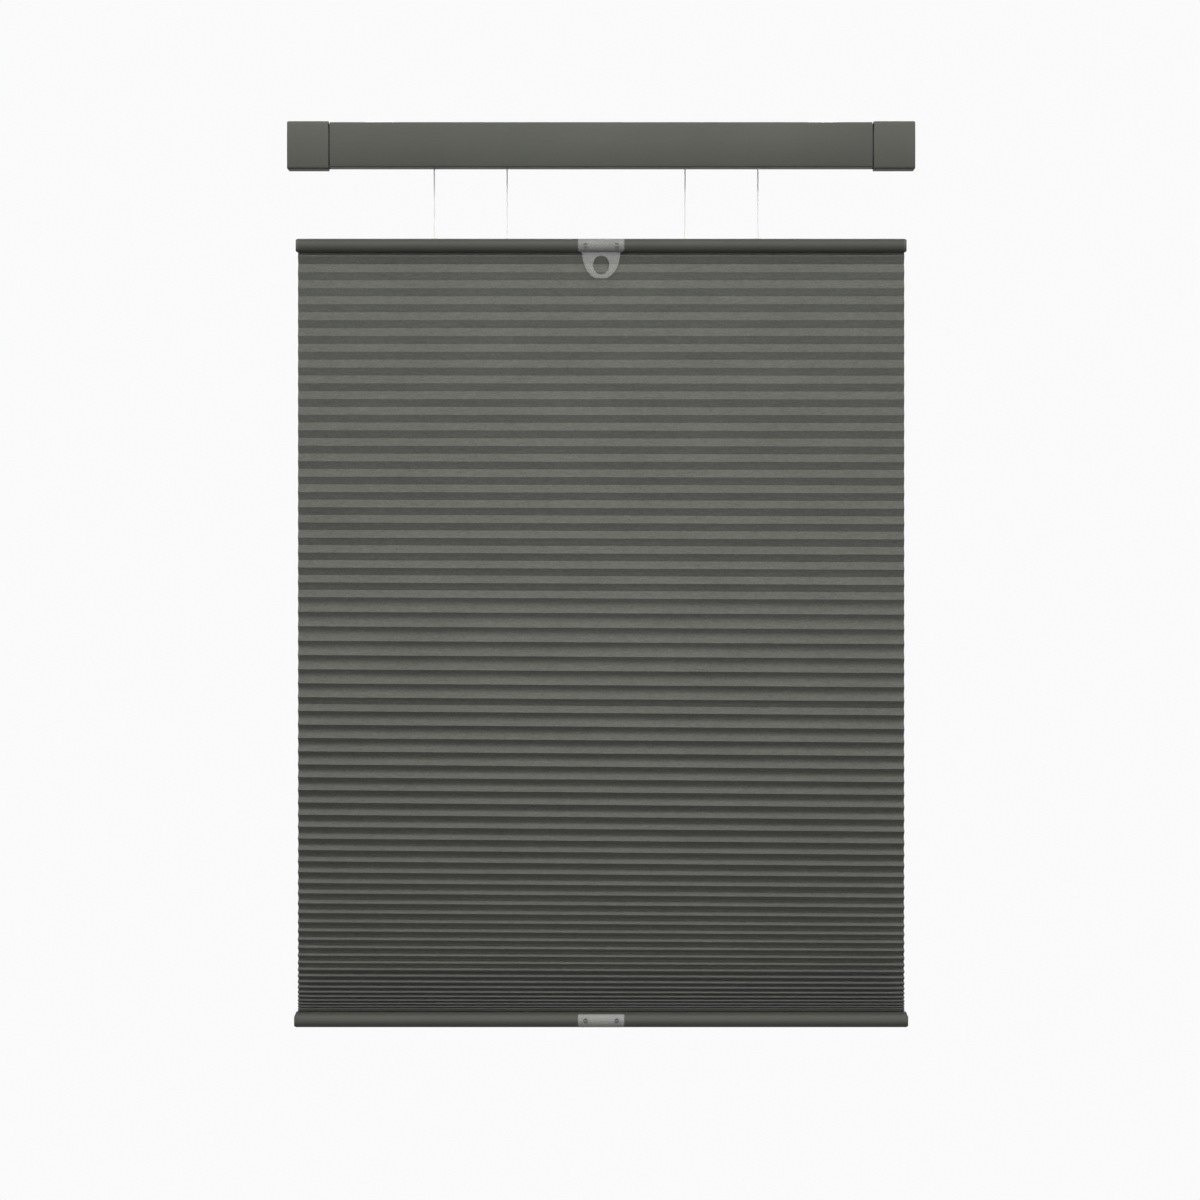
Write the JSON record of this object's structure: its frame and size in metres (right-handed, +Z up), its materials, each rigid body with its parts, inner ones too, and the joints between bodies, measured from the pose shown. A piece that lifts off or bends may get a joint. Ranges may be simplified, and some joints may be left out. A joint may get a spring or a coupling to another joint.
{
  "type": "pleated blind",
  "caption": "Honeycomb pleated blind that lowers from the top and lifts from the bottom: head rail, fabric between a middle and a bottom rail, pull handle, spring-wound lift cords.",
  "frame": {"origin": "middle of the brackets' top face, which is screwed up under the lintel", "axes": "+Z up, +X to the right seen from the room, -Y towards the room"},
  "size_m": [0.61, 0.0528, 0.8806],
  "materials": {
    "rail_paint": "satin olive-grey powder coat on aluminium",
    "cap_plastic": "matt olive-grey, matched to the rails",
    "bracket_steel": "zinc-plated sheet",
    "shaft_steel": "bright drawn",
    "spring_steel": "rolled spring strip",
    "nylon": "off-white moulded",
    "strip_plastic": "extruded",
    "handle_plastic": "frosted translucent",
    "cord": "braided polyester",
    "pleat_fabric": "non-woven, with faint level streaks"
  },
  "bodies": {
    "head_rail": {"head_rail": "rail_paint", "head_cap_left": "cap_plastic", "head_cap_right": "cap_plastic", "bracket_left": "bracket_steel", "bracket_right": "bracket_steel", "middle_cradle_left": "nylon", "middle_cradle_right": "nylon", "bottom_cradle_left": "nylon", "bottom_cradle_right": "nylon", "middle_motor_plate_left": "nylon", "middle_motor_plate_right": "nylon", "middle_storage_pin": "shaft_steel", "middle_spring": "spring_steel", "bottom_motor_plate_left": "nylon", "bottom_motor_plate_right": "nylon", "bottom_storage_pin": "shaft_steel", "bottom_spring": "spring_steel", "pleated_fabric": "pleat_fabric", "middle_cord_left": "cord", "middle_cord_right": "cord", "bottom_cord_left": "cord", "bottom_cord_right": "cord"},
    "middle_rail": {"middle_rail": "rail_paint", "middle_rail_cap_left": "cap_plastic", "middle_rail_cap_right": "cap_plastic", "middle_fabric_strip": "strip_plastic", "middle_cord_stops": "nylon", "middle_cord_eyelets": "nylon", "middle_handle": "handle_plastic", "middle_handle_screws": "shaft_steel"},
    "bottom_rail": {"bottom_rail": "rail_paint", "bottom_rail_cap_left": "cap_plastic", "bottom_rail_cap_right": "cap_plastic", "bottom_fabric_strip": "strip_plastic", "bottom_cord_stops": "nylon", "bottom_clip": "handle_plastic", "bottom_clip_screws": "shaft_steel"},
    "middle_lift": {"middle_shaft": "shaft_steel", "middle_spool_left": "nylon", "middle_spool_right": "nylon", "middle_cord_turns": "cord", "middle_output_drum": "nylon"},
    "bottom_lift": {"bottom_shaft": "shaft_steel", "bottom_spool_left": "nylon", "bottom_spool_right": "nylon", "bottom_cord_turns": "cord", "bottom_output_drum": "nylon"},
    "middle_storage": {"middle_storage_drum": "nylon"},
    "bottom_storage": {"bottom_storage_drum": "nylon"}
  },
  "joints": [
    {"name": "middle_rail_slide", "type": "slide", "parent": "head_rail", "child": "middle_rail", "axis": [0, 0, 1], "range_m": [-0.25, 0.066], "deforming": ["pleated_fabric", "middle_cord_left", "middle_cord_right"]},
    {"name": "bottom_rail_slide", "type": "slide", "parent": "head_rail", "child": "bottom_rail", "axis": [0, 0, 1], "range_m": [-0.05, 0.175], "deforming": ["pleated_fabric", "bottom_cord_left", "bottom_cord_right"]},
    {"name": "middle_lift_turn", "type": "hinge", "parent": "head_rail", "child": "middle_lift", "pos_m": [0, -0.01, -0.03255], "axis": [1, 0, 0], "range_deg": [-1593, 421]},
    {"name": "bottom_lift_turn", "type": "hinge", "parent": "head_rail", "child": "bottom_lift", "pos_m": [0, 0.01, -0.03255], "axis": [1, 0, 0], "range_deg": [-1115, 319]},
    {"name": "middle_storage_turn", "type": "hinge", "parent": "head_rail", "child": "middle_storage", "pos_m": [0, -0.01, -0.01555], "axis": [1, 0, 0], "range_deg": [-421, 1593]},
    {"name": "bottom_storage_turn", "type": "hinge", "parent": "head_rail", "child": "bottom_storage", "pos_m": [0, 0.01, -0.01555], "axis": [1, 0, 0], "range_deg": [-319, 1115]}
  ],
  "couplings": [
    {"joint": "middle_lift_turn", "follows": "middle_rail_slide", "rad_per_m": 111.11},
    {"joint": "middle_storage_turn", "follows": "middle_rail_slide", "rad_per_m": -111.11},
    {"joint": "bottom_lift_turn", "follows": "bottom_rail_slide", "rad_per_m": -111.11},
    {"joint": "bottom_storage_turn", "follows": "bottom_rail_slide", "rad_per_m": 111.11}
  ]
}
